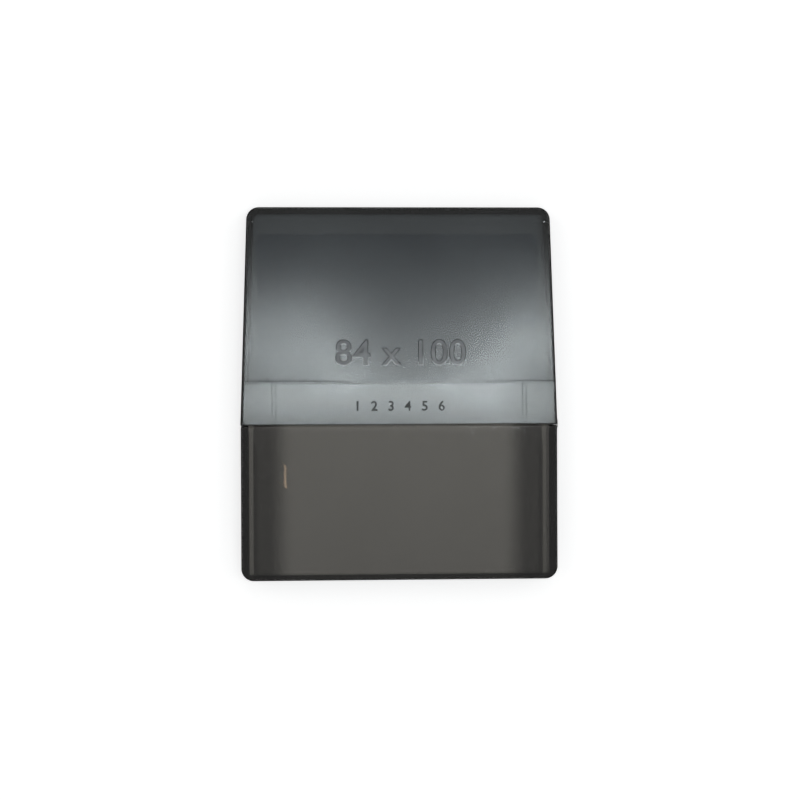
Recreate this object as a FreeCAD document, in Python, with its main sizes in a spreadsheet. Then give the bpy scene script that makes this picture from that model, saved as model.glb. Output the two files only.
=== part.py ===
import FreeCAD, Part
import math
import os
import Sketcher

# A smoky slip-lid case that holds one square graduated filter, lying on its back.
# Millimetres. X runs across the case, Y from its foot to the lid's closed end, Z up from the surface
# that it lies on. The origin is under the middle of the closed case.
# Each piece is drawn about the middle of its own thickness, with Y counted from its lower end.

doc = FreeCAD.newDocument("FilterCase")
sheet = doc.addObject("Spreadsheet::Sheet", "Sizes")

driving_sizes = {
    # filter
    "filter_width": 84.0,
    "filter_height": 100.0,
    "filter_thickness": 1.8,
    "filter_corner": 2.0,
    "filter_bevel": 0.15,
    # room round the filter in the closed case
    "filter_side_clearance": 0.15,
    "filter_foot_clearance": 1.0,
    "filter_head_room": 5.6,
    "filter_front_room": 4.4,
    # guide rails on the inside of the base's back wall
    "rail_width": 1.12,
    "rail_wall_gap": 1.18,
    "rail_height": 1.3,
    "rail_lead": 4.7,
    "rail_below_shoulder": 4.4,
    # base, the glossy lower half
    "base_height": 45.6,
    "base_side_wall": 2.4,
    "base_face_wall": 1.9,
    "base_end_wall": 1.65,
    "base_edge_radius": 0.6,
    "shoulder_radius": 0.45,
    # lid, the frosted upper half, which narrows towards its closed end
    "lid_overhang": 0.1,
    "lid_side_taper": 2.1,
    "lid_face_taper": 0.6,
    "lid_side_wall": 1.85,
    "lid_face_wall": 1.2,
    "lid_end_wall": 1.95,
    "lid_rim_wall": 0.95,
    "lid_edge_radius": 0.8,
    "lid_rim_radius": 0.25,
    "lid_cavity_corner": 1.8,
    "lid_cavity_fillet": 0.4,
    "corner_radius": 3.7,
    # neck of the base, and its fit in the lid's mouth
    "seam_gap": 0.2,
    "neck_height": 12.9,
    "neck_clearance": 0.2,
    "neck_end_clearance": 0.2,
    "neck_corner": 0.6,
    "neck_lead_in": 0.3,
    "mouth_relief": 0.15,
    "mouth_relief_reach": 1.6,
    # friction ribs on the neck
    "rib_side_inset": 9.25,
    "rib_width": 1.2,
    "rib_length": 9.8,
    "rib_height": 0.15,
    "rib_end_gap": 0.8,
}
for row, (alias, value) in enumerate(driving_sizes.items(), start=1):
    sheet.set(f"A{row}", alias)
    sheet.set(f"B{row}", str(value))
    sheet.setAlias(f"B{row}", alias)
doc.recompute()

# Sizes that follow from the driving ones, as expressions over the sheet
RAIL_INNER = "(Sizes.filter_width / 2 + Sizes.filter_side_clearance)"
CAVITY_WIDTH = f"(2 * ({RAIL_INNER} + Sizes.rail_width + Sizes.rail_wall_gap))"
CAVITY_DEPTH = "(Sizes.filter_thickness + Sizes.filter_front_room)"
BASE_WIDTH = f"({CAVITY_WIDTH} + 2 * Sizes.base_side_wall)"
BASE_DEPTH = f"({CAVITY_DEPTH} + 2 * Sizes.base_face_wall)"
FILTER_FOOT = "(Sizes.base_end_wall + Sizes.filter_foot_clearance)"
CASE_HEIGHT = f"({FILTER_FOOT} + Sizes.filter_height + Sizes.filter_head_room + Sizes.lid_end_wall)"
RAIL_TOP = "(Sizes.base_height - Sizes.rail_below_shoulder)"
RAIL_BEND = f"({RAIL_TOP} - Sizes.rail_lead)"
LID_FOOT = "(Sizes.base_height + Sizes.seam_gap)"
LID_HEIGHT = f"({CASE_HEIGHT} - {LID_FOOT})"
MOUTH_WIDTH = f"({BASE_WIDTH} + 2 * Sizes.lid_overhang)"
MOUTH_DEPTH = f"({BASE_DEPTH} + 2 * Sizes.lid_overhang)"
LID_END_WIDTH = f"({MOUTH_WIDTH} - 2 * Sizes.lid_side_taper)"
LID_END_DEPTH = f"({MOUTH_DEPTH} - 2 * Sizes.lid_face_taper)"
LID_CAVITY_TOP = f"({LID_HEIGHT} - Sizes.lid_end_wall)"
SOCKET_HEIGHT = "(Sizes.neck_height - Sizes.seam_gap + Sizes.neck_end_clearance)"
NECK_TOP = "(Sizes.base_height + Sizes.neck_height)"
NECK_DEPTH = f"({MOUTH_DEPTH} - 2 * Sizes.lid_rim_wall - 2 * Sizes.neck_clearance)"

touch = 1e-4


def lid_width_at(height):
    """Outer width of the lid at a height over its mouth."""
    return f"({MOUTH_WIDTH} - 2 * Sizes.lid_side_taper * ({height}) / {LID_HEIGHT})"


def lid_depth_at(height):
    """Outer thickness of the lid at a height over its mouth, above the socket."""
    share = f"({height} - {SOCKET_HEIGHT}) / ({LID_HEIGHT} - {SOCKET_HEIGHT})"
    return f"({MOUTH_DEPTH} - 2 * Sizes.lid_face_taper * {share})"


def neck_width_at(height):
    """Width of the neck at a height over the shoulder, with its clearance in the tapered socket."""
    lid_width = lid_width_at(f"{height} - Sizes.seam_gap")
    return f"({lid_width} - 2 * Sizes.lid_rim_wall - 2 * Sizes.neck_clearance)"


def size_of(expression):
    """The present value of an expression over the sheet."""
    return float(sheet.evalExpression(expression))


def new_body(name):
    body = doc.addObject("PartDesign::Body", name)
    body.Label = name
    return body


def place(body, height, depth):
    """Puts a body into the closed case: its own Y = 0 over the case's foot, its middle over the case's."""
    body.setExpression("Placement.Base.y", f"{height} - {CASE_HEIGHT} / 2")
    body.setExpression("Placement.Base.z", f"{MOUTH_DEPTH} / 2 + {depth}")


def plane_of(body, role):
    """The body's own origin plane of that role."""
    return next(feature for feature in body.Origin.OriginFeatures if feature.Role == role)


def new_sketch(body, name, role, shift):
    """A sketch on an origin plane, moved along that plane's normal."""
    sketch = body.newObject("Sketcher::SketchObject", name)
    sketch.AttachmentSupport = [(plane_of(body, role), "")]
    sketch.MapMode = "FlatFace"
    sketch.setExpression("AttachmentOffset.Base.z", shift)
    return sketch


def draw_lines(sketch, points, closed=True):
    """Straight lines from point to point, joined at their ends."""
    corners = [FreeCAD.Vector(x, y, 0) for x, y in points]
    if closed:
        corners.append(corners[0])
    lines = []
    for start, end in zip(corners, corners[1:]):
        lines.append(sketch.addGeometry(Part.LineSegment(start, end), False))
    followers = lines[1:] + lines[:1] if closed else lines[1:]
    for line, follower in zip(lines, followers):
        sketch.addConstraint(Sketcher.Constraint("Coincident", line, 2, follower, 1))
    return lines


def level(sketch, *lines):
    for line in lines:
        sketch.addConstraint(Sketcher.Constraint("Horizontal", line))


def upright(sketch, *lines):
    for line in lines:
        sketch.addConstraint(Sketcher.Constraint("Vertical", line))


def measure(sketch, direction, first, second, expression):
    """A driving dimension from one point to another, each a pair of line and end."""
    start = size_of(expression)
    index = sketch.addConstraint(Sketcher.Constraint(f"Distance{direction}", *first, *second, start))
    sketch.setExpression(f"Constraints[{index}]", expression)


ORIGIN = (-1, 1)


def section(body, name, height, width, depth):
    """A rectangle square to Y at a height, centred on the axis."""
    sketch = new_sketch(body, name, "XZ_Plane", f"-({height})")
    x, y = size_of(width) / 2, size_of(depth) / 2
    bottom, right, top, left = draw_lines(sketch, [(-x, -y), (x, -y), (x, y), (-x, y)])
    level(sketch, bottom, top)
    upright(sketch, right, left)
    sketch.addConstraint(Sketcher.Constraint("Symmetric", bottom, 1, top, 1, *ORIGIN))
    measure(sketch, "X", (bottom, 1), (bottom, 2), width)
    measure(sketch, "Y", (right, 1), (right, 2), depth)
    return sketch


def outline(body, name, lower_width, upper_width, low, high):
    """A front outline on the middle plane: level foot and top, and sides that slant alike."""
    sketch = new_sketch(body, name, "XY_Plane", "0")
    lower, upper = size_of(lower_width) / 2, size_of(upper_width) / 2
    foot, head = size_of(low), size_of(high)
    points = [(-lower, foot), (lower, foot), (upper, head), (-upper, head)]
    bottom, right, top, left = draw_lines(sketch, points)
    sketch.addConstraint(Sketcher.Constraint("Symmetric", bottom, 1, bottom, 2, -2))
    sketch.addConstraint(Sketcher.Constraint("Symmetric", top, 1, top, 2, -2))
    measure(sketch, "X", (bottom, 1), (bottom, 2), lower_width)
    measure(sketch, "X", (top, 2), (top, 1), upper_width)
    if low == "0":
        sketch.addConstraint(Sketcher.Constraint("PointOnObject", bottom, 1, -1))
    else:
        measure(sketch, "Y", ORIGIN, (bottom, 1), low)
    measure(sketch, "Y", ORIGIN, (top, 2), high)
    return sketch


def side_strip(body, name, inner, width, low, length):
    """An upright rectangle on the middle plane, to the right of the axis."""
    sketch = new_sketch(body, name, "XY_Plane", "0")
    x, y = size_of(inner), size_of(low)
    far, high = x + size_of(width), y + size_of(length)
    bottom, right, top, left = draw_lines(sketch, [(x, y), (far, y), (far, high), (x, high)])
    level(sketch, bottom, top)
    upright(sketch, right, left)
    measure(sketch, "X", ORIGIN, (bottom, 1), inner)
    measure(sketch, "X", (bottom, 1), (bottom, 2), width)
    measure(sketch, "Y", ORIGIN, (bottom, 1), low)
    measure(sketch, "Y", (right, 1), (right, 2), length)
    return sketch


def extrude(body, kind, name, sketch, length, middle=False, backwards=False):
    """A pad or a pocket of a sketch, to both sides of it where middle is true."""
    feature = body.newObject(f"PartDesign::{kind}", name)
    feature.Profile = (sketch, [""])
    feature.SideType = "Symmetric" if middle else "One side"
    feature.Reversed = backwards
    feature.setExpression("Length", length)
    doc.recompute()
    return feature


def mirror(body, name, original, role):
    """Repeats a feature on the other side of one of the body's origin planes."""
    feature = body.newObject("PartDesign::Mirrored", name)
    feature.Originals = [original]
    feature.MirrorPlane = (plane_of(body, role), [""])
    body.Tip = feature
    doc.recompute()
    return feature


def is_at(edge, axis, *places):
    """True if the whole edge lies at one of those places on the axis."""
    low = getattr(edge.BoundBox, f"{axis}Min")
    high = getattr(edge.BoundBox, f"{axis}Max")
    return any(abs(low - place) < touch and abs(high - place) < touch for place in places)


def leaves(edge, half_width, half_depth):
    """True if the edge has a point outside the centred rectangle of those half sizes, seen along Y."""
    box = edge.BoundBox
    past_width = max(-box.XMin, box.XMax) - half_width
    past_depth = max(-box.ZMin, box.ZMax) - half_depth
    return max(past_width, past_depth) > touch


def on_one_side(edge):
    """True if the edge keeps to one side of the middle plane."""
    return edge.BoundBox.ZMin > touch or edge.BoundBox.ZMax < -touch


def dress_edges(body, kind, name, wanted, size):
    """Fillets or chamfers those edges of the body's solid for which wanted is true."""
    solid = body.Tip
    names = [f"Edge{index}" for index, edge in enumerate(solid.Shape.Edges, start=1) if wanted(edge)]
    if not names:
        raise RuntimeError(f"{name} found no edge")
    feature = body.newObject(f"PartDesign::{kind}", name)
    feature.Base = (solid, names)
    feature.setExpression("Radius" if kind == "Fillet" else "Size", size)
    doc.recompute()
    return feature


# Base: a block with a narrower neck, hollowed from the neck's end


def draw_rail(body):
    """The guide rail's outline beside the filter: straight, with a round lead-in towards the mouth."""
    sketch = new_sketch(body, "RailOutline", "XY_Plane", f"-{CAVITY_DEPTH} / 2")
    width, lead = size_of("Sizes.rail_width"), size_of("Sizes.rail_lead")
    inner, foot = size_of(RAIL_INNER), size_of("Sizes.base_end_wall")
    bend, top = size_of(RAIL_BEND), size_of(RAIL_TOP)
    points = [(inner + width, top), (inner + width, foot), (inner, foot), (inner, bend)]
    outer_line, foot_line, inner_line = draw_lines(sketch, points, closed=False)
    radius = (width**2 + lead**2) / (2 * width)
    circle = Part.Circle(FreeCAD.Vector(inner + radius, bend, 0), FreeCAD.Vector(0, 0, 1), radius)
    turn = math.atan2(lead, width - radius)
    arc = sketch.addGeometry(Part.ArcOfCircle(circle, turn, math.pi), False)
    sketch.addConstraint(Sketcher.Constraint("Coincident", arc, 1, outer_line, 1))
    sketch.addConstraint(Sketcher.Constraint("Tangent", arc, 2, inner_line, 2))
    level(sketch, foot_line)
    upright(sketch, outer_line, inner_line)
    measure(sketch, "X", ORIGIN, (foot_line, 2), RAIL_INNER)
    measure(sketch, "X", (foot_line, 2), (foot_line, 1), "Sizes.rail_width")
    measure(sketch, "Y", ORIGIN, (foot_line, 2), "Sizes.base_end_wall")
    measure(sketch, "Y", ORIGIN, (inner_line, 2), RAIL_BEND)
    measure(sketch, "Y", ORIGIN, (outer_line, 1), RAIL_TOP)
    return sketch


def make_base():
    body = new_body("case_base")
    half_width = size_of(f"{BASE_WIDTH} / 2")
    half_depth = size_of(f"{BASE_DEPTH} / 2")
    shoulder = size_of("Sizes.base_height")
    neck_top = size_of(NECK_TOP)
    neck_half_width = size_of(f"{neck_width_at('0')} / 2")
    neck_half_depth = size_of(f"{NECK_DEPTH} / 2")
    relief_width = f"({CAVITY_WIDTH} + 2 * Sizes.mouth_relief)"
    relief_depth = f"({CAVITY_DEPTH} + 2 * Sizes.mouth_relief)"
    relief_half_width = size_of(f"{relief_width} / 2")
    relief_half_depth = size_of(f"{relief_depth} / 2")

    block = outline(body, "BaseOutline", BASE_WIDTH, BASE_WIDTH, "0", "Sizes.base_height")
    extrude(body, "Pad", "BaseBlock", block, BASE_DEPTH, middle=True)
    dress_edges(
        body, "Fillet", "BaseCorners",
        lambda edge: is_at(edge, "Y", 0) and is_at(edge, "X", -half_width, half_width),
        "Sizes.corner_radius",
    )
    dress_edges(
        body, "Fillet", "BaseEdges",
        lambda edge: is_at(edge, "Z", -half_depth, half_depth) and not is_at(edge, "Y", shoulder),
        "Sizes.base_edge_radius",
    )

    neck = outline(
        body, "NeckOutline",
        neck_width_at("0"), neck_width_at("Sizes.neck_height"), "Sizes.base_height", NECK_TOP,
    )
    extrude(body, "Pad", "Neck", neck, NECK_DEPTH, middle=True)
    dress_edges(
        body, "Fillet", "NeckCorners",
        lambda edge: is_at(edge, "Z", -neck_half_depth, neck_half_depth)
        and edge.BoundBox.YLength > (neck_top - shoulder) / 2,
        "Sizes.neck_corner",
    )
    strip = side_strip(
        body, "RibOutline",
        f"{BASE_WIDTH} / 2 - Sizes.rib_side_inset - Sizes.rib_width", "Sizes.rib_width",
        f"{NECK_TOP} - Sizes.rib_end_gap - Sizes.rib_length", "Sizes.rib_length",
    )
    rib = extrude(body, "Pad", "FrictionRib", strip, f"{NECK_DEPTH} + 2 * Sizes.rib_height", middle=True)
    mirror(body, "OtherFrictionRib", rib, "YZ_Plane")

    cavity = section(body, "CavitySection", NECK_TOP, CAVITY_WIDTH, CAVITY_DEPTH)
    extrude(body, "Pocket", "Cavity", cavity, f"{NECK_TOP} - Sizes.base_end_wall", backwards=True)
    relief = section(body, "ReliefSection", NECK_TOP, relief_width, relief_depth)
    reach = "Sizes.neck_height + Sizes.mouth_relief_reach"
    extrude(body, "Pocket", "MouthRelief", relief, reach, backwards=True)
    rail = extrude(body, "Pad", "GuideRail", draw_rail(body), "Sizes.rail_height")
    mirror(body, "OtherGuideRail", rail, "YZ_Plane")

    dress_edges(
        body, "Fillet", "Shoulder",
        lambda edge: is_at(edge, "Y", shoulder) and leaves(edge, neck_half_width, neck_half_depth),
        "Sizes.shoulder_radius",
    )
    dress_edges(
        body, "Chamfer", "NeckLeadIn",
        lambda edge: is_at(edge, "Y", neck_top) and leaves(edge, relief_half_width, relief_half_depth),
        "Sizes.neck_lead_in",
    )
    place(body, "0", "0")
    return body


# Lid: a sleeve closed at its far end, thin round the socket that takes the neck


def draw_thinning(body):
    """The wedge between the lid's straight face, seen from the side, and its sloping one."""
    sketch = new_sketch(body, "ThinningOutline", "YZ_Plane", "0")
    start, end = size_of(SOCKET_HEIGHT), size_of(LID_HEIGHT)
    outer, inner = size_of(f"{MOUTH_DEPTH} / 2"), size_of(f"{LID_END_DEPTH} / 2")
    straight, close, slope = draw_lines(sketch, [(start, outer), (end, outer), (end, inner)])
    level(sketch, straight)
    upright(sketch, close)
    measure(sketch, "X", ORIGIN, (straight, 1), SOCKET_HEIGHT)
    measure(sketch, "X", ORIGIN, (straight, 2), LID_HEIGHT)
    measure(sketch, "Y", ORIGIN, (straight, 1), f"{MOUTH_DEPTH} / 2")
    measure(sketch, "Y", ORIGIN, (slope, 1), f"{LID_END_DEPTH} / 2")
    return sketch


def hollow(body, name, low, high, lower, upper):
    """Cuts a centred tapered block, from a width and depth at one height to those at another."""
    wedge = body.newObject("PartDesign::SubtractiveWedge", name)
    spans = {
        "Ymin": low, "Ymax": high,
        "Xmin": f"-{lower[0]} / 2", "Xmax": f"{lower[0]} / 2",
        "Zmin": f"-{lower[1]} / 2", "Zmax": f"{lower[1]} / 2",
        "X2min": f"-{upper[0]} / 2", "X2max": f"{upper[0]} / 2",
        "Z2min": f"-{upper[1]} / 2", "Z2max": f"{upper[1]} / 2",
    }
    for bound, expression in spans.items():
        wedge.setExpression(bound, expression)
    doc.recompute()
    return wedge


def make_lid():
    body = new_body("case_lid")
    lid_height = size_of(LID_HEIGHT)
    end_half_width = size_of(f"{LID_END_WIDTH} / 2")
    socket_height = size_of(SOCKET_HEIGHT)
    socket_depth = f"({MOUTH_DEPTH} - 2 * Sizes.lid_rim_wall)"
    socket_half_width = size_of(f"{MOUTH_WIDTH} / 2 - Sizes.lid_rim_wall")
    socket_half_depth = size_of(f"{socket_depth} / 2")
    cavity_width = f"({lid_width_at(SOCKET_HEIGHT)} - 2 * Sizes.lid_side_wall)"
    cavity_depth = f"({MOUTH_DEPTH} - 2 * Sizes.lid_face_wall)"
    cavity_end_width = f"({lid_width_at(LID_CAVITY_TOP)} - 2 * Sizes.lid_side_wall)"
    cavity_end_depth = f"({lid_depth_at(LID_CAVITY_TOP)} - 2 * Sizes.lid_face_wall)"
    cavity_top = size_of(LID_CAVITY_TOP)
    cavity_half_width = size_of(f"{cavity_end_width} / 2")

    shell = outline(body, "LidOutline", MOUTH_WIDTH, LID_END_WIDTH, "0", LID_HEIGHT)
    extrude(body, "Pad", "LidBlock", shell, MOUTH_DEPTH, middle=True)
    thinning = extrude(body, "Pocket", "Thinning", draw_thinning(body), MOUTH_WIDTH, middle=True)
    mirror(body, "OtherThinning", thinning, "XY_Plane")
    dress_edges(
        body, "Fillet", "LidCorners",
        lambda edge: is_at(edge, "Y", lid_height) and is_at(edge, "X", -end_half_width, end_half_width),
        "Sizes.corner_radius",
    )
    dress_edges(
        body, "Fillet", "LidEdges",
        lambda edge: on_one_side(edge) and not is_at(edge, "Y", 0, socket_height),
        "Sizes.lid_edge_radius",
    )

    socket = outline(
        body, "SocketOutline",
        f"{MOUTH_WIDTH} - 2 * Sizes.lid_rim_wall",
        f"{lid_width_at(SOCKET_HEIGHT)} - 2 * Sizes.lid_rim_wall", "0", SOCKET_HEIGHT,
    )
    extrude(body, "Pocket", "Socket", socket, socket_depth, middle=True)
    dress_edges(
        body, "Fillet", "SocketCorners",
        lambda edge: is_at(edge, "Z", -socket_half_depth, socket_half_depth)
        and edge.BoundBox.YLength > socket_height / 2,
        "Sizes.neck_corner",
    )

    hollow(
        body, "LidCavity", SOCKET_HEIGHT, LID_CAVITY_TOP,
        (cavity_width, cavity_depth), (cavity_end_width, cavity_end_depth),
    )
    dress_edges(
        body, "Fillet", "CavityCorners",
        lambda edge: is_at(edge, "Y", cavity_top) and is_at(edge, "X", -cavity_half_width, cavity_half_width),
        "Sizes.lid_cavity_corner",
    )
    dress_edges(
        body, "Fillet", "CavityEdges",
        lambda edge: on_one_side(edge)
        and edge.BoundBox.YMax > socket_height + touch
        and not leaves(edge, size_of(f"{cavity_width} / 2"), size_of(f"{cavity_depth} / 2")),
        "Sizes.lid_cavity_fillet",
    )
    dress_edges(
        body, "Fillet", "LidRim",
        lambda edge: is_at(edge, "Y", 0) and leaves(edge, socket_half_width, socket_half_depth),
        "Sizes.lid_rim_radius",
    )
    place(body, LID_FOOT, "0")
    return body


# Filter: a flat resin plate that lies on the base's back wall between the rails


def make_filter():
    body = new_body("graduated_filter")
    half_width = size_of("Sizes.filter_width / 2")
    plate = outline(body, "PlateOutline", "Sizes.filter_width", "Sizes.filter_width", "0", "Sizes.filter_height")
    extrude(body, "Pad", "Plate", plate, "Sizes.filter_thickness", middle=True)
    dress_edges(
        body, "Fillet", "PlateCorners",
        lambda edge: is_at(edge, "X", -half_width, half_width) and not on_one_side(edge),
        "Sizes.filter_corner",
    )
    dress_edges(body, "Chamfer", "PlateBevel", on_one_side, "Sizes.filter_bevel")
    place(body, FILTER_FOOT, f"(Sizes.filter_thickness - {CAVITY_DEPTH}) / 2")
    return body


bodies = [make_base(), make_lid(), make_filter()]
doc.recompute()

for item in doc.Objects:
    if {"Invalid", "Error"} & set(item.State):
        raise RuntimeError(f"{item.Label} failed: {item.State}")
for body in bodies:
    if body.Shape.isNull() or not body.Shape.isValid() or len(body.Shape.Solids) != 1:
        raise RuntimeError(f"{body.Label} isn't one valid solid")

os.makedirs("parts", exist_ok=True)
for body in bodies:
    body.Shape.exportStep(f"parts/{body.Label}.step")
    print(f"{body.Label}: {body.Shape.Volume:.0f} cubic mm")
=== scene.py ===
import math

import bpy
from mathutils import Matrix, Vector


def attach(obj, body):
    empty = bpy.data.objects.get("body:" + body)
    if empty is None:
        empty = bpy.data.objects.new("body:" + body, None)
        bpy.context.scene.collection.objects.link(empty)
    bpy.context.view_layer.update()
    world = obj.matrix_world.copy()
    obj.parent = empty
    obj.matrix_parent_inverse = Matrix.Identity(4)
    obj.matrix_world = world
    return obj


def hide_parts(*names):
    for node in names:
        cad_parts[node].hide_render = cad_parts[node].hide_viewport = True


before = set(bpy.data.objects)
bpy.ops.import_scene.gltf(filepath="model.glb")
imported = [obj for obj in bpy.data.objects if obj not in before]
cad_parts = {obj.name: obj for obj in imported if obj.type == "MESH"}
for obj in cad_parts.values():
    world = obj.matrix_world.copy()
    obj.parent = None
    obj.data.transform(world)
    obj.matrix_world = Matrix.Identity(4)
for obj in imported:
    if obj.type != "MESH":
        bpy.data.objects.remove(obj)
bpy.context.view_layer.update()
print("frame loaded with", ", ".join(sorted(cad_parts)))

mm = 0.001


# camera, almost straight above the case, which lies on its back

viewpoint = {
    "target": (0.127 * mm, -1.898 * mm, 10 * mm),
    "leanX": -3.322,  # degrees off the vertical, along the case's width
    "leanY": 0.342,  # and along its height
    "roll": -0.237,
    "distance": 0.6,
    "lens": 91.409,
}


def placeCamera(name, view):
    lean = Vector((math.tan(math.radians(view["leanX"])), math.tan(math.radians(view["leanY"])), 1))
    back = lean.normalized()
    right = Vector((0, 1, 0)).cross(back).normalized()
    roll = Matrix.Rotation(math.radians(view["roll"]), 3, back)
    right = roll @ right
    up = back.cross(right)
    turn = Matrix((right, up, back)).transposed()
    lens = bpy.data.cameras.new(name)
    lens.lens = view["lens"]
    camera = bpy.data.objects.new(name, lens)
    bpy.context.scene.collection.objects.link(camera)
    camera.matrix_world = Matrix.Translation(Vector(view["target"]) + back * view["distance"]) @ turn.to_4x4()
    bpy.context.scene.camera = camera


placeCamera("PhotoCamera", viewpoint)
print("camera placed")


# node helpers


def addNode(tree, kind, x, y, **settings):
    node = tree.nodes.new(kind)
    node.location = (x, y)
    for name, value in settings.items():
        setattr(node, name, value)
    return node


def setInputs(node, **values):
    for name, value in values.items():
        node.inputs[name.replace("_", " ")].default_value = value
    return node


def mathNode(tree, operation, x, y, first, second=None, clamp=False):
    node = addNode(tree, "ShaderNodeMath", x, y, operation=operation, use_clamp=clamp)
    for index, source in enumerate((first, second)):
        if source is None:
            continue
        if isinstance(source, (int, float)):
            node.inputs[index].default_value = source
        else:
            tree.links.new(source, node.inputs[index])
    return node.outputs[0]


def mapRange(tree, x, y, source, low, high, toLow=0.0, toHigh=1.0, smooth=False):
    node = addNode(tree, "ShaderNodeMapRange", x, y)
    node.interpolation_type = "SMOOTHSTEP" if smooth else "LINEAR"
    tree.links.new(source, node.inputs["Value"])
    for name, value in zip(("From Min", "From Max", "To Min", "To Max"), (low, high, toLow, toHigh)):
        node.inputs[name].default_value = value
    return node.outputs["Result"]


def mixColour(tree, x, y, factor, first, second):
    node = addNode(tree, "ShaderNodeMix", x, y, data_type="RGBA")
    tree.links.new(factor, node.inputs[0])
    for socket, value in ((node.inputs[6], first), (node.inputs[7], second)):
        if isinstance(value, tuple):
            socket.default_value = (*value, 1)
        else:
            tree.links.new(value, socket)
    return node.outputs[2]


def newMaterial(name):
    material = bpy.data.materials.new(name)
    material.use_nodes = True
    material.node_tree.nodes.clear()
    return material, material.node_tree


def newGroup(name, inputs, outputs):
    tree = bpy.data.node_groups.new(name, "ShaderNodeTree")
    for label, kind, value in inputs:
        socket = tree.interface.new_socket(name=label, in_out="INPUT", socket_type=kind)
        if value is not None:
            socket.default_value = value
    for label, kind in outputs:
        tree.interface.new_socket(name=label, in_out="OUTPUT", socket_type=kind)
    return tree, addNode(tree, "NodeGroupInput", -1200, 0), addNode(tree, "NodeGroupOutput", 900, 0)


def useGroup(tree, group, x, y, vector, **values):
    node = addNode(tree, "ShaderNodeGroup", x, y, node_tree=group)
    tree.links.new(vector, node.inputs["Vector"])
    return setInputs(node, **values)


# floor, room and lamps

room = {
    "floorSize": 8.0,
    "floorDrop": 0.02 * mm,
    "floorColour": (0.80, 0.80, 0.80),
    "floorLift": 0.58,  # what camera rays see on top of the lit floor
    "farLift": (0.7, 2.6, 0.30),  # and more of it from here to here, where the lamps fall off
    "floorMirrored": 0.15,  # share of the floor that shows in a reflection
    "floorThrough": 0.55,  # what rays through the smoky plastic see
    "poolHalfWidth": 31.0 * mm,  # light pool under the case, between its walls' shadows
    "poolSoftness": 8.0 * mm,
    "poolShade": 0.18,
    "poolTop": (-6.0 * mm, -2.0 * mm),  # from here on, no walls' shadows under the lid
    "lidDimmer": (41.5 * mm, 44.5 * mm, 0.45),  # but less light under its side walls
    "poolRise": (-54.0 * mm, -12.0 * mm, 0.93, 1.16),  # from the foot to the seam, and the light at both
    "wallLight": (44.0 * mm, 0.9 * mm, 0.45),  # beside the rails: place, half width, strength
    "seamShadow": (-9.3 * mm, 1.2 * mm, 0.7 * mm, 47.7 * mm),  # middle and half width, along Y and X
    "zenithStrength": 0.40,
    "horizonStrength": 0.10,
}
lamps = {
    # name: place, aim, width, height, watts, colour
    "warmLamp": (
        (-0.0331, -0.0506, 0.62), (-0.0331, -0.0506, 0), 0.0011, 0.0135, 0.00019, (1, 0.70, 0.42)
    ),
    "stripLamp": ((0.031, 0.001, 0.61), (0.031, 0.001, 0), 0.207, 0.025, 0.290, (0.90, 0.98, 1)),
    "spotLamp": ((0.094, -0.001, 0.62), (0.094, -0.001, 0), 0.05, 0.04, 0.028, (0.90, 0.98, 1)),
    "leftSoftbox": ((-1.3, 0.3, 1.0), (0, 0, 0), 1.3, 1.3, 4, (1, 1, 1)),
    "rightSoftbox": ((1.3, 0.3, 1.0), (0, 0, 0), 1.3, 1.3, 4, (1, 1, 1)),
    "lidEndSoftbox": ((0.0, 1.5, 0.9), (0, 0, 0), 1.3, 0.9, 4, (1, 1, 1)),
    "footSoftbox": ((0.0, -1.5, 0.9), (0, 0, 0), 1.3, 0.8, 4, (1, 1, 1)),
}


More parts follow.
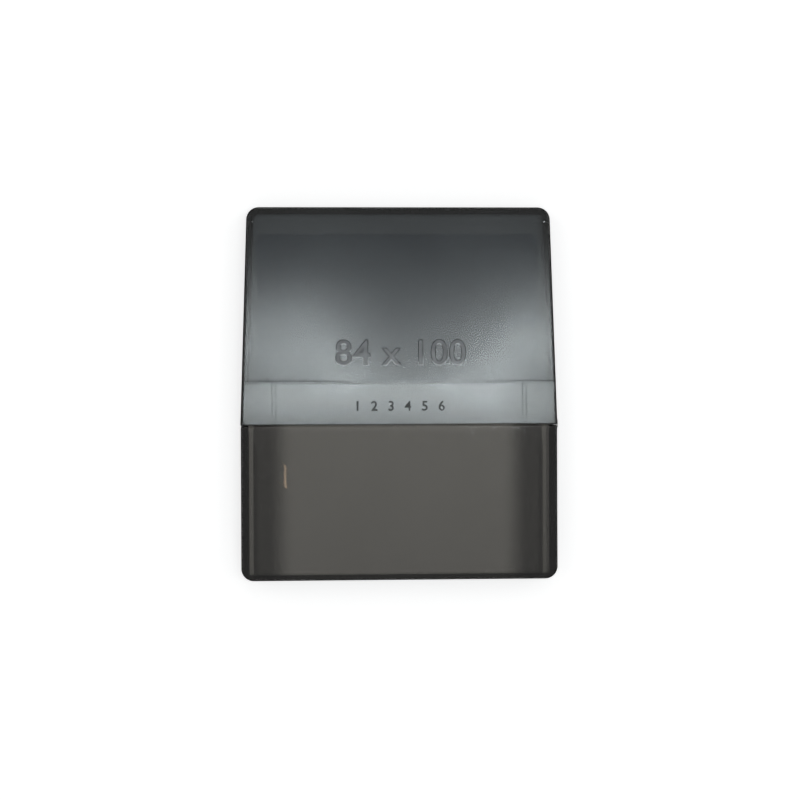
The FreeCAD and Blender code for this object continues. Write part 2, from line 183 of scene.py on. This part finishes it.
def buildFloor(name, numbers):
    bpy.ops.mesh.primitive_plane_add(size=numbers["floorSize"], location=(0, 0, -numbers["floorDrop"]))
    floor = bpy.context.active_object
    floor.name = name
    material, tree = newMaterial("paleFloor")
    coords = addNode(tree, "ShaderNodeTexCoord", -900, 0)
    mottle = setInputs(addNode(tree, "ShaderNodeTexNoise", -700, 0), Scale=3.0, Detail=3.0)
    tree.links.new(coords.outputs["Object"], mottle.inputs["Vector"])
    pale = numbers["floorColour"]
    deeper = tuple(channel * 0.985 for channel in pale)
    colour = mixColour(tree, -450, 0, mottle.outputs[0], deeper, pale)
    matte = setInputs(addNode(tree, "ShaderNodeBsdfDiffuse", -200, 0), Roughness=0.5)
    tree.links.new(colour, matte.inputs["Color"])
    path = addNode(tree, "ShaderNodeLightPath", -900, -300)
    axes = addNode(tree, "ShaderNodeSeparateXYZ", -900, -600)
    tree.links.new(coords.outputs["Object"], axes.inputs[0])
    off = mathNode(tree, "ABSOLUTE", -750, -600, axes.outputs["X"])
    near, soft = numbers["poolHalfWidth"], numbers["poolSoftness"]
    pool = mapRange(tree, -600, -600, off, near, near + soft, 1, numbers["poolShade"], smooth=True)
    place, half, strength = numbers["wallLight"]
    beside = mathNode(tree, "SUBTRACT", -750, -800, off, place)
    beside = mathNode(tree, "ABSOLUTE", -600, -800, beside)
    strip = mapRange(tree, -450, -800, beside, half * 0.6, half, strength, 0, smooth=True)
    pool = mathNode(tree, "ADD", -300, -700, pool, strip)
    start, end = numbers["poolTop"]
    lidShare = mapRange(tree, -600, -1000, axes.outputs["Y"], start, end)
    start, end, least = numbers["lidDimmer"]
    dimmer = mapRange(tree, -750, -1000, off, start, end, 1, least)
    lidShare = mathNode(tree, "MULTIPLY", -450, -1000, lidShare, dimmer)
    pool = mathNode(tree, "MAXIMUM", -150, -700, pool, lidShare)
    foot, head, low, high = numbers["poolRise"]
    rise = mapRange(tree, -600, -1150, axes.outputs["Y"], foot, head, low, high)
    pool = mathNode(tree, "MULTIPLY", 0, -700, pool, rise)
    pool = mathNode(tree, "MULTIPLY", 0, -850, pool, numbers["floorThrough"])
    # the floor stays in shadow where it shows through the seam's two ends
    middle, half, shift, wide = numbers["seamShadow"]
    along = mathNode(tree, "SUBTRACT", -750, -1300, axes.outputs["Y"], middle)
    along = mathNode(tree, "ABSOLUTE", -600, -1300, along)
    along = mathNode(tree, "GREATER_THAN", -450, -1300, along, half)
    across = mathNode(tree, "SUBTRACT", -750, -1450, axes.outputs["X"], shift)
    across = mathNode(tree, "ABSOLUTE", -600, -1450, across)
    outside = mathNode(tree, "GREATER_THAN", -450, -1450, across, wide)
    clearOf = mathNode(tree, "MAXIMUM", -300, -1350, along, outside)
    distance = addNode(tree, "ShaderNodeVectorMath", -900, -450, operation="LENGTH")
    tree.links.new(coords.outputs["Object"], distance.inputs[0])
    start, end, extra = numbers["farLift"]
    lift = numbers["floorLift"]
    lift = mapRange(tree, -750, -450, distance.outputs["Value"], start, end, lift, lift + extra, smooth=True)
    seen = mathNode(tree, "MULTIPLY", -600, -250, path.outputs["Is Camera Ray"], lift)
    seen = mathNode(tree, "MULTIPLY", -400, -250, seen, clearOf)
    glow = addNode(tree, "ShaderNodeEmission", 0, -200)
    tree.links.new(seen, glow.inputs["Strength"])
    both = addNode(tree, "ShaderNodeAddShader", 200, 0)
    tree.links.new(matte.outputs[0], both.inputs[0])
    tree.links.new(glow.outputs[0], both.inputs[1])
    # a ray through the case sees the pool alone, and a reflection sees little of the lit floor
    through = path.outputs["Is Transmission Ray"]
    dim = mathNode(tree, "MULTIPLY", -200, 200, path.outputs["Is Glossy Ray"], 1 - numbers["floorMirrored"])
    dim = mathNode(tree, "MAXIMUM", 0, 200, dim, through)
    light = addNode(tree, "ShaderNodeEmission", 200, 200)
    tree.links.new(mathNode(tree, "MULTIPLY", 0, 350, pool, through), light.inputs["Strength"])
    mixed = addNode(tree, "ShaderNodeMixShader", 400, 0)
    tree.links.new(dim, mixed.inputs[0])
    tree.links.new(both.outputs[0], mixed.inputs[1])
    tree.links.new(light.outputs[0], mixed.inputs[2])
    output = addNode(tree, "ShaderNodeOutputMaterial", 600, 0)
    tree.links.new(mixed.outputs[0], output.inputs["Surface"])
    floor.data.materials.append(material)


def buildAir(name, numbers):
    world = bpy.data.worlds.new(name)
    bpy.context.scene.world = world
    world.use_nodes = True
    tree = world.node_tree
    tree.nodes.clear()
    direction = addNode(tree, "ShaderNodeTexCoord", -900, -200).outputs["Generated"]
    axes = addNode(tree, "ShaderNodeSeparateXYZ", -700, -200)
    tree.links.new(direction, axes.inputs[0])
    horizon, zenith = numbers["horizonStrength"], numbers["zenithStrength"]
    dome = mapRange(tree, -500, -200, axes.outputs["Z"], 0.1, 0.9, horizon, zenith, smooth=True)
    path = addNode(tree, "ShaderNodeLightPath", -700, 0)
    strength = mathNode(tree, "MAXIMUM", -400, 0, path.outputs["Is Camera Ray"], dome)
    air = addNode(tree, "ShaderNodeBackground", -200, 0)
    tree.links.new(strength, air.inputs["Strength"])
    air.inputs["Color"].default_value = (1, 1, 1, 1)
    output = addNode(tree, "ShaderNodeOutputWorld", 0, 0)
    tree.links.new(air.outputs[0], output.inputs["Surface"])


def hangLamp(name, place, aim, width, height, watts, colour):
    light = bpy.data.lights.new(name, "AREA")
    light.shape = "RECTANGLE"
    light.size = width
    light.size_y = height
    light.energy = watts
    light.color = colour
    lamp = bpy.data.objects.new(name, light)
    bpy.context.scene.collection.objects.link(lamp)
    down = Vector(aim) - Vector(place)
    lamp.matrix_world = Matrix.Translation(place) @ down.to_track_quat("-Z", "Y").to_matrix().to_4x4()
    lamp.visible_camera = False
    lamp.visible_transmission = False  # or the walls' inner edges gather them into white lines


buildFloor("floor", room)
buildAir("roomAir", room)
for lampName, numbers in lamps.items():
    hangLamp(lampName, *numbers)
print("floor and lamps placed")


# effects that several finishes share


def buildHairlines():
    group, given, result = newGroup(
        "hairlineScratches",
        [("Vector", "NodeSocketVector", None), ("Amount", "NodeSocketFloat", 1.0)],
        [("Mask", "NodeSocketFloat")],
    )
    total = None
    for index, degrees in enumerate((12, 67, 118)):
        turned = addNode(group, "ShaderNodeVectorRotate", -1000, -300 * index, rotation_type="Z_AXIS")
        turned.inputs["Angle"].default_value = math.radians(degrees)
        group.links.new(given.outputs["Vector"], turned.inputs["Vector"])
        stretched = addNode(group, "ShaderNodeMapping", -800, -300 * index)
        stretched.inputs["Scale"].default_value = (70, 3200, 70)
        stretched.inputs["Location"].default_value = (3.1 * index, 7.7 * index, 0)
        group.links.new(turned.outputs[0], stretched.inputs["Vector"])
        noise = setInputs(addNode(group, "ShaderNodeTexNoise", -600, -300 * index), Scale=1.0, Detail=0.0)
        group.links.new(stretched.outputs[0], noise.inputs["Vector"])
        line = mapRange(group, -400, -300 * index, noise.outputs[0], 0.74, 0.80)
        total = line if total is None else mathNode(group, "MAXIMUM", -200, -300 * index, total, line)
    mask = mathNode(group, "MULTIPLY", 0, 0, total, given.outputs["Amount"], clamp=True)
    group.links.new(mask, result.inputs["Mask"])
    return group


def buildSpecks():
    group, given, result = newGroup(
        "fineSpecks",
        [
            ("Vector", "NodeSocketVector", None),
            ("Scale", "NodeSocketFloat", 500.0),
            ("Radius", "NodeSocketFloat", 0.2),
            ("Share", "NodeSocketFloat", 0.1),
        ],
        [("Mask", "NodeSocketFloat"), ("Cone", "NodeSocketFloat")],
    )
    cells = addNode(group, "ShaderNodeTexVoronoi", -800, 0)
    group.links.new(given.outputs["Vector"], cells.inputs["Vector"])
    group.links.new(given.outputs["Scale"], cells.inputs["Scale"])
    spread = addNode(group, "ShaderNodeSeparateColor", -600, -200)
    group.links.new(cells.outputs["Color"], spread.inputs[0])
    size = mathNode(group, "MULTIPLY", -400, -100, spread.outputs[1], given.outputs["Radius"])
    inside = mathNode(group, "LESS_THAN", -200, 0, cells.outputs["Distance"], size)
    chosen = mathNode(group, "LESS_THAN", -200, -200, spread.outputs[0], given.outputs["Share"])
    mask = mathNode(group, "MULTIPLY", 0, 0, inside, chosen)
    group.links.new(mask, result.inputs["Mask"])
    height = mathNode(group, "SUBTRACT", -200, -350, size, cells.outputs["Distance"])
    height = mathNode(group, "MAXIMUM", 0, -350, height, 0)
    group.links.new(mathNode(group, "MULTIPLY", 200, -350, height, chosen), result.inputs["Cone"])
    return group


hairlineGroup = buildHairlines()
speckGroup = buildSpecks()
print("shared effects built")


# smoky plastics and filter resin

glossySmoke = {
    "tint": (0.93, 0.92, 0.90),
    "tintDeep": (0.86, 0.85, 0.82),
    "roughness": 0.018,
    "ior": 1.57,
    "smoke": (0.04, 0.03, 0.0),
    "density": 430,
    "scratchAmount": 0.5,
    "dust": (210.0, 0.07, 0.22),  # cells in a metre, radius, share of the cells
    "markRoughness": 0.12,
    "markHeight": 0.0005 * mm,
    "wave": (35.0, 0.012 * mm),  # slow unevenness of the moulding: scale, height
    "shoulderRoll": (-9.95 * mm, 1100),  # where the shoulder's edge starts to fall, and how sharply it bends
    "dustHeight": 2.2 * mm,
}
frostedSmoke = {
    "tint": (0.92, 0.94, 0.95),
    "tintDeep": (0.84, 0.87, 0.88),
    "frostRoughness": 0.163,
    "bandRoughness": 0.154,
    "ior": 1.57,
    "smoke": (0.0, 0.03, 0.05),
    "density": 1230,
    "bandTop": 3.6 * mm,
    "faceEnd": 55.1 * mm,
    "rise": 1.6 * mm,
    "sink": 0.85 * mm,
    "sinkMiddle": 2.5 * mm,
    "sinkHalfWidths": (35.5 * mm, 50.0 * mm),  # to the left and to the right of its middle
    "patches": (45.0, 0.015),  # uneven frost: scale, and roughness up and down
    "scratches": (0.08, 0.12),  # how many show, and how much smoother they are
    "grainScale": 1900,
    "grainHeight": 0.012 * mm,
    "stepGroove": (3.4 * mm, 0.6 * mm, 0.006 * mm),  # place along Y, half width, depth
    "ribLines": (37.17 * mm, 0.58 * mm, 0.22 * mm, 0.014 * mm),  # place, half spacing, half width, depth
    "ribMiddle": -1.9 * mm,
    "ribHalfLength": 4.9 * mm,
    "ejectorLine": (-20.0 * mm, 0.22 * mm, 0.008 * mm),
    "mouthRoll": (-8.85 * mm, 500),  # where the mouth's edge starts to fall, and how sharply it bends
    "sparkles": (900, 0.45, 0.10),  # cells in a metre, radius, share of the cells
    "sparkleHeight": 0.12 * mm,
    "sparkleMiddle": -3.0 * mm,
    "sparkleRange": (26.0 * mm, 42.0 * mm, 0.15),  # fewer in the face's middle, all of them at its sides
}
gradedResin = {
    "clear": (0.97, 0.975, 0.98),
    "dark": (0.53, 0.60, 0.68),
    "fadeStart": -12 * mm,
    "fadeEnd": 30 * mm,
    "cloud": (30.0, 1.5 * mm),  # uneven fade: scale, and millimetres up and down
    "scratches": (0.3, 0.3),  # how many show, and their roughness
    "roughness": 0.02,
    "ior": 1.5,
    "smoke": (0.0, 0.0, 0.0),
    "density": 5,
}
polishedSmoke = {
    "name": "polishedSmokeNumbers",
    "colour": (0.200, 0.215, 0.225),
    "colourDeep": (0.130, 0.140, 0.147),
    # painted shade: dark colour on the figures' chamfered rims
    "paintedRimShade": (0.012, 0.014, 0.015),
    # painted highlight: pale colour on the chamfers that face the case's foot
    "paintedGlintColour": (0.62, 0.65, 0.67),
    "roughness": 0.10,
    "ior": 1.57,
}
mattSmoke = {
    "name": "mattSmokeNumbers",
    "colour": (0.050, 0.056, 0.058),
    "colourDeep": (0.035, 0.039, 0.041),
    # painted shade: dark colour on the figures' rims
    "paintedRimShade": (0.020, 0.022, 0.023),
    # painted highlight slot, kept as dark as the rims here
    "paintedGlintColour": (0.020, 0.022, 0.023),
    "roughness": 0.55,
    "ior": 1.57,
}


def glassShader(tree, numbers, output):
    shader = addNode(tree, "ShaderNodeBsdfPrincipled", 400, 0)
    setInputs(shader, IOR=numbers["ior"], Transmission_Weight=1.0, Metallic=0.0)
    smoke = addNode(tree, "ShaderNodeVolumeAbsorption", 400, -500)
    setInputs(smoke, Color=(*numbers["smoke"], 1), Density=numbers["density"])
    tree.links.new(shader.outputs[0], output.inputs["Surface"])
    tree.links.new(smoke.outputs[0], output.inputs["Volume"])
    return shader


def rollOff(tree, along, place, bend):
    past = mathNode(tree, "SUBTRACT", -1500, -1800, along, place)
    past = mathNode(tree, "MINIMUM" if bend < 0 else "MAXIMUM", -1350, -1800, past, 0)
    square = mathNode(tree, "MULTIPLY", -1200, -1800, past, past)
    return mathNode(tree, "MULTIPLY", -1050, -1800, square, abs(bend) / 2)


def makeGlossySmoke(numbers):
    material, tree = newMaterial("glossySmokePlastic")
    output = addNode(tree, "ShaderNodeOutputMaterial", 800, 0)
    shader = glassShader(tree, numbers, output)
    coords = addNode(tree, "ShaderNodeTexCoord", -1200, 0).outputs["Object"]
    flow = setInputs(addNode(tree, "ShaderNodeTexNoise", -900, 300), Scale=22.0, Detail=3.0)
    tree.links.new(coords, flow.inputs["Vector"])
    tree.links.new(
        mixColour(tree, 0, 300, flow.outputs[0], numbers["tintDeep"], numbers["tint"]),
        shader.inputs["Base Color"],
    )
    lines = useGroup(tree, hairlineGroup, -900, 0, coords, Amount=numbers["scratchAmount"])
    scale, radius, share = numbers["dust"]
    specks = useGroup(tree, speckGroup, -900, -200, coords, Scale=scale, Radius=radius, Share=share)
    marks = mathNode(tree, "MAXIMUM", -600, -100, lines.outputs[0], specks.outputs[0])
    roughness = mapRange(tree, -300, 0, marks, 0, 1, numbers["roughness"], numbers["markRoughness"])
    tree.links.new(roughness, shader.inputs["Roughness"])
    bump = setInputs(addNode(tree, "ShaderNodeBump", 100, -250), Strength=1.0, Distance=numbers["markHeight"])
    tree.links.new(marks, bump.inputs["Height"])
    scale, height = numbers["wave"]
    ripple = setInputs(addNode(tree, "ShaderNodeTexNoise", -600, -450), Scale=scale, Detail=1.0)
    tree.links.new(coords, ripple.inputs["Vector"])
    wave = setInputs(addNode(tree, "ShaderNodeBump", -100, -450), Strength=1.0, Distance=height)
    tree.links.new(ripple.outputs[0], wave.inputs["Height"])
    tree.links.new(wave.outputs[0], bump.inputs["Normal"])
    grit = setInputs(addNode(tree, "ShaderNodeBump", 250, -350), Strength=1.0, Distance=numbers["dustHeight"])
    tree.links.new(specks.outputs["Cone"], grit.inputs["Height"])
    tree.links.new(bump.outputs[0], grit.inputs["Normal"])
    axes = addNode(tree, "ShaderNodeSeparateXYZ", -1200, -600)
    tree.links.new(coords, axes.inputs[0])
    place, bend = numbers["shoulderRoll"]
    fall = mathNode(tree, "MULTIPLY", -900, -700, rollOff(tree, axes.outputs["Y"], place, bend), -1)
    edge = setInputs(addNode(tree, "ShaderNodeBump", 250, -550), Strength=1.0, Distance=1.0)
    tree.links.new(fall, edge.inputs["Height"])
    tree.links.new(grit.outputs[0], edge.inputs["Normal"])
    tree.links.new(edge.outputs[0], shader.inputs["Normal"])
    return material


def makeFrostedSmoke(numbers):
    material, tree = newMaterial("frostedSmokePlastic")
    output = addNode(tree, "ShaderNodeOutputMaterial", 800, 0)
    shader = glassShader(tree, numbers, output)
    coords = addNode(tree, "ShaderNodeTexCoord", -1600, 0).outputs["Object"]
    axes = addNode(tree, "ShaderNodeSeparateXYZ", -1400, 0)
    tree.links.new(coords, axes.inputs[0])
    flow = setInputs(addNode(tree, "ShaderNodeTexNoise", -900, 300), Scale=18.0, Detail=3.0)
    tree.links.new(coords, flow.inputs["Vector"])
    tree.links.new(
        mixColour(tree, 0, 300, flow.outputs[0], numbers["tintDeep"], numbers["tint"]),
        shader.inputs["Base Color"],
    )
    # frost above the smoother band at the mouth
    top = numbers["bandTop"]
    frost = mapRange(tree, -1100, 100, axes.outputs["Y"], top - 0.3 * mm, top + 0.3 * mm, smooth=True)
    scale, swing = numbers["patches"]
    patches = setInputs(addNode(tree, "ShaderNodeTexNoise", -1100, -100), Scale=scale, Detail=4.0)
    tree.links.new(coords, patches.inputs["Vector"])
    uneven = mapRange(tree, -900, -100, patches.outputs[0], 0.3, 0.7, -swing, swing)
    base = mapRange(tree, -700, 100, frost, 0, 1, numbers["bandRoughness"], numbers["frostRoughness"])
    amount, smoother = numbers["scratches"]
    scratches = useGroup(tree, hairlineGroup, -900, -250, coords, Amount=amount)
    scuffed = mathNode(tree, "MULTIPLY", -700, -250, scratches.outputs[0], smoother)
    roughness = mathNode(tree, "ADD", -500, 100, base, uneven)
    roughness = mathNode(tree, "SUBTRACT", -300, 100, roughness, scuffed)
    tree.links.new(roughness, shader.inputs["Roughness"])
    # the big face stays nearly level along its sides, and sinks in its middle
    share = mapRange(tree, -1500, -500, axes.outputs["Y"], top, numbers["faceEnd"])
    bent = mathNode(tree, "POWER", -1300, -450, share, 7)
    bent = mathNode(tree, "DIVIDE", -1150, -450, bent, 7)
    level = mathNode(tree, "SUBTRACT", -1000, -450, share, bent)
    level = mathNode(tree, "MULTIPLY", -850, -450, level, numbers["rise"])
    left = mathNode(tree, "SUBTRACT", -1300, -600, 1, share)
    left = mathNode(tree, "MULTIPLY", -1150, -600, left, left)
    dip = mathNode(tree, "SUBTRACT", -1000, -600, 1, left)
    off = mathNode(tree, "SUBTRACT", -1650, -750, axes.outputs["X"], numbers["sinkMiddle"])
    leftWidth, rightWidth = numbers["sinkHalfWidths"]
    leftward = mathNode(tree, "DIVIDE", -1500, -700, off, -leftWidth)
    rightward = mathNode(tree, "DIVIDE", -1500, -850, off, rightWidth)
    off = mathNode(tree, "MAXIMUM", -1350, -750, leftward, rightward)
    off = mapRange(tree, -1200, -750, off, 0, 1, 0, math.pi)
    across = mathNode(tree, "COSINE", -1050, -750, off)
    across = mapRange(tree, -900, -750, across, -1, 1, 0, numbers["sink"])
    dip = mathNode(tree, "MULTIPLY", -700, -650, dip, across)
    face = mathNode(tree, "SUBTRACT", -550, -550, level, dip)
    # fine lines that the mould left: over the neck's end, beside the ribs and on the band
    place, half, depth = numbers["stepGroove"]
    away = mathNode(tree, "SUBTRACT", -1500, -1000, axes.outputs["Y"], place)
    away = mathNode(tree, "ABSOLUTE", -1350, -1000, away)
    groove = mapRange(tree, -1200, -1000, away, 0, half, depth, 0, smooth=True)
    place, spacing, half, depth = numbers["ribLines"]
    away = mathNode(tree, "ABSOLUTE", -1650, -1200, axes.outputs["X"])
    away = mathNode(tree, "SUBTRACT", -1500, -1200, away, place)
    away = mathNode(tree, "ABSOLUTE", -1350, -1200, away)
    away = mathNode(tree, "SUBTRACT", -1200, -1200, away, spacing)
    away = mathNode(tree, "ABSOLUTE", -1050, -1200, away)
    ribs = mapRange(tree, -900, -1200, away, 0, half, depth, 0, smooth=True)
    place, half, depth = numbers["ejectorLine"]
    away = mathNode(tree, "SUBTRACT", -1500, -1400, axes.outputs["X"], place)
    away = mathNode(tree, "ABSOLUTE", -1350, -1400, away)
    single = mapRange(tree, -1200, -1400, away, 0, half, depth, 0, smooth=True)
    lines = mathNode(tree, "MAXIMUM", -700, -1300, ribs, single)
    away = mathNode(tree, "SUBTRACT", -1500, -1600, axes.outputs["Y"], numbers["ribMiddle"])
    away = mathNode(tree, "ABSOLUTE", -1350, -1600, away)
    long = numbers["ribHalfLength"]
    onBand = mapRange(tree, -1200, -1600, away, long, long + 0.3 * mm, 1, 0)
    lines = mathNode(tree, "MULTIPLY", -550, -1300, lines, onBand)
    face = mathNode(tree, "SUBTRACT", -450, -900, face, mathNode(tree, "MAXIMUM", -500, -1100, groove, lines))
    place, bend = numbers["mouthRoll"]
    face = mathNode(tree, "SUBTRACT", -300, -900, face, rollOff(tree, axes.outputs["Y"], place, -bend))
    hollow = addNode(tree, "ShaderNodeBump", -400, -550)
    setInputs(hollow, Strength=1.0, Distance=1.0)
    tree.links.new(face, hollow.inputs["Height"])
    # grain
    grain = setInputs(addNode(tree, "ShaderNodeTexNoise", -900, -850), Scale=numbers["grainScale"], Detail=2.0)
    tree.links.new(coords, grain.inputs["Vector"])
    fine = mathNode(tree, "MULTIPLY", -700, -850, grain.outputs[0], frost)
    bump = setInputs(addNode(tree, "ShaderNodeBump", 0, -550), Strength=1.0, Distance=numbers["grainHeight"])
    tree.links.new(fine, bump.inputs["Height"])
    tree.links.new(hollow.outputs[0], bump.inputs["Normal"])
    scale, radius, share = numbers["sparkles"]
    sparkles = useGroup(tree, speckGroup, -900, -1800, coords, Scale=scale, Radius=radius, Share=share)
    off = mathNode(tree, "SUBTRACT", -1100, -1950, axes.outputs["X"], numbers["sparkleMiddle"])
    off = mathNode(tree, "ABSOLUTE", -950, -1950, off)
    start, end, least = numbers["sparkleRange"]
    worn = mapRange(tree, -800, -1950, off, start, end, least, 1)
    glitter = mathNode(tree, "MULTIPLY", -600, -1850, sparkles.outputs["Cone"], worn)
    glitter = mathNode(tree, "MULTIPLY", -450, -1850, glitter, frost)
    glint = setInputs(addNode(tree, "ShaderNodeBump", 200, -650), Strength=1.0, Distance=numbers["sparkleHeight"])
    tree.links.new(glitter, glint.inputs["Height"])
    tree.links.new(bump.outputs[0], glint.inputs["Normal"])
    tree.links.new(glint.outputs[0], shader.inputs["Normal"])
    return material


def makeGradedResin(numbers):
    material, tree = newMaterial("gradedFilterResin")
    output = addNode(tree, "ShaderNodeOutputMaterial", 800, 0)
    shader = glassShader(tree, numbers, output)
    coords = addNode(tree, "ShaderNodeTexCoord", -1200, 0).outputs["Object"]
    axes = addNode(tree, "ShaderNodeSeparateXYZ", -1000, 0)
    tree.links.new(coords, axes.inputs[0])
    scale, swing = numbers["cloud"]
    cloud = setInputs(addNode(tree, "ShaderNodeTexNoise", -1000, -250), Scale=scale, Detail=2.0)
    tree.links.new(coords, cloud.inputs["Vector"])
    drift = mapRange(tree, -800, -250, cloud.outputs[0], 0, 1, -swing, swing)
    height = mathNode(tree, "ADD", -600, 0, axes.outputs["Y"], drift)
    fade = mapRange(tree, -400, 0, height, numbers["fadeStart"], numbers["fadeEnd"], smooth=True)
    tree.links.new(mixColour(tree, 0, 200, fade, numbers["clear"], numbers["dark"]), shader.inputs["Base Color"])
    amount, dull = numbers["scratches"]
    lines = useGroup(tree, hairlineGroup, -600, -400, coords, Amount=amount)
    roughness = mapRange(tree, -300, -300, lines.outputs[0], 0, 1, numbers["roughness"], dull)
    tree.links.new(roughness, shader.inputs["Roughness"])
    return material


def makeNumberSmoke(numbers):
    material, tree = newMaterial(numbers["name"])
    output = addNode(tree, "ShaderNodeOutputMaterial", 800, 0)
    shader = addNode(tree, "ShaderNodeBsdfPrincipled", 400, 0)
    setInputs(shader, IOR=numbers["ior"])
    source = addNode(tree, "ShaderNodeTexCoord", -900, 0)
    cloud = setInputs(addNode(tree, "ShaderNodeTexNoise", -600, 0), Scale=400.0, Detail=3.0)
    tree.links.new(source.outputs["Object"], cloud.inputs["Vector"])
    # painted shade: dark rims round each figure; painted highlight: pale rims where they face the case's foot
    facing = addNode(tree, "ShaderNodeSeparateXYZ", -600, 300)
    tree.links.new(source.outputs["Normal"], facing.inputs[0])
    flat = mapRange(tree, -400, 300, facing.outputs["Z"], 0.92, 0.98)
    paintedGlintShare = mapRange(tree, -400, 500, facing.outputs["Y"], -0.25, -0.40)
    top = mixColour(tree, -200, 0, cloud.outputs[0], numbers["colourDeep"], numbers["colour"])
    paintedRimShadeAndGlint = mixColour(tree, -200, 500, paintedGlintShare, numbers["paintedRimShade"], numbers["paintedGlintColour"])
    tree.links.new(mixColour(tree, 100, 200, flat, paintedRimShadeAndGlint, top), shader.inputs["Base Color"])
    smooth, dull = numbers["roughness"] - 0.03, numbers["roughness"] + 0.03
    roughness = mapRange(tree, 0, -200, cloud.outputs[0], 0.3, 0.7, smooth, dull)
    tree.links.new(roughness, shader.inputs["Roughness"])
    tree.links.new(shader.outputs[0], output.inputs["Surface"])
    return material


finishes = {
    "case_base": makeGlossySmoke(glossySmoke),
    "case_lid": makeFrostedSmoke(frostedSmoke),
    "graduated_filter": makeGradedResin(gradedResin),
}
polishedFinish = makeNumberSmoke(polishedSmoke)
mattFinish = makeNumberSmoke(mattSmoke)
for node, material in finishes.items():
    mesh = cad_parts[node].data
    mesh.materials.clear()
    mesh.materials.append(material)
print("finishes made")


# the filter rests on the base's floor, with a hair of air under it that lets the light through

restingFilter = {
    "airGap": 0.01 * mm,
    "mergeDistance": 0.001 * mm,
}


def restFilter(name, node, numbers):
    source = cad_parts[node]
    mesh = source.data.copy()
    mesh.transform(source.matrix_world)
    piece = bpy.data.objects.new(name, mesh)
    bpy.context.scene.collection.objects.link(piece)
    bpy.ops.object.select_all(action="DESELECT")
    piece.select_set(True)
    bpy.context.view_layer.objects.active = piece
    bpy.ops.object.mode_set(mode="EDIT")
    bpy.ops.mesh.select_all(action="SELECT")
    bpy.ops.mesh.remove_doubles(threshold=numbers["mergeDistance"])
    bpy.ops.object.mode_set(mode="OBJECT")
    under = min(vertex.co.z for vertex in mesh.vertices)
    for vertex in mesh.vertices:
        if vertex.co.z - under < numbers["airGap"]:
            vertex.co.z = under + numbers["airGap"]
    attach(piece, "base")
    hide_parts(node)
    return piece


restFilter("resting_filter", "graduated_filter", restingFilter)
print("filter laid in the base")


# raised plain numbers on the lid's face: the filter's size, and a row of counting figures

lidFace = {
    "bandTop": 3.6 * mm,
    "end": 55.1 * mm,
    "bandHeight": 10.2 * mm,
    "fall": 0.6 * mm,
}
raisedNumbers = {
    # name: text, middle along X, foot along Y, figure height, spacing, stroke offset, rise, chamfer, finish
    "size_numbers": (
        "84 x 100", 0.4 * mm, 8.6 * mm, 7.6 * mm, 1.04, 0.02 * mm, 0.10 * mm, 0.20 * mm, polishedFinish
    ),
    "count_numbers": (
        "1  2  3  4  5  6", 0.0 * mm, -5.0 * mm, 2.9 * mm, 1.12, 0.06 * mm, 0.05 * mm, 0.0, mattFinish
    ),
}
chamferSlope = 0.5  # the figures' chamfers rise half as much as they are wide


def faceHeight(y):
    share = max(0.0, y - lidFace["bandTop"]) / (lidFace["end"] - lidFace["bandTop"])
    return lidFace["bandHeight"] - lidFace["fall"] * share


def raiseNumbers(name, text, middle, foot, figureHeight, spacing, offset, rise, chamfer, finish):
    bpy.ops.object.select_all(action="DESELECT")
    bpy.ops.object.text_add(location=(0, 0, 0))
    piece = bpy.context.active_object
    piece.name = name
    words = piece.data
    words.body = text
    words.align_x = "CENTER"
    words.size = figureHeight / 0.72  # a figure is 0.72 of the size high
    words.space_character = spacing
    words.offset = offset
    words.extrude = rise / chamferSlope
    words.bevel_depth = chamfer
    words.bevel_resolution = 0
    words.resolution_u = 6
    bpy.ops.object.convert(target="MESH")
    piece = bpy.context.active_object
    slope = math.atan2(faceHeight(foot + figureHeight) - faceHeight(foot), figureHeight)
    place = Matrix.Translation((middle, foot, faceHeight(foot))) @ Matrix.Rotation(slope, 4, "X")
    piece.data.transform(place @ Matrix.Diagonal((1, 1, chamferSlope, 1)))
    piece.data.materials.clear()
    piece.data.materials.append(finish)
    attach(piece, "lid")
    return piece


for pieceName, numbers in raisedNumbers.items():
    raiseNumbers(pieceName, *numbers)
print("numbers raised")


bpy.context.scene.view_settings.view_transform = "Standard"
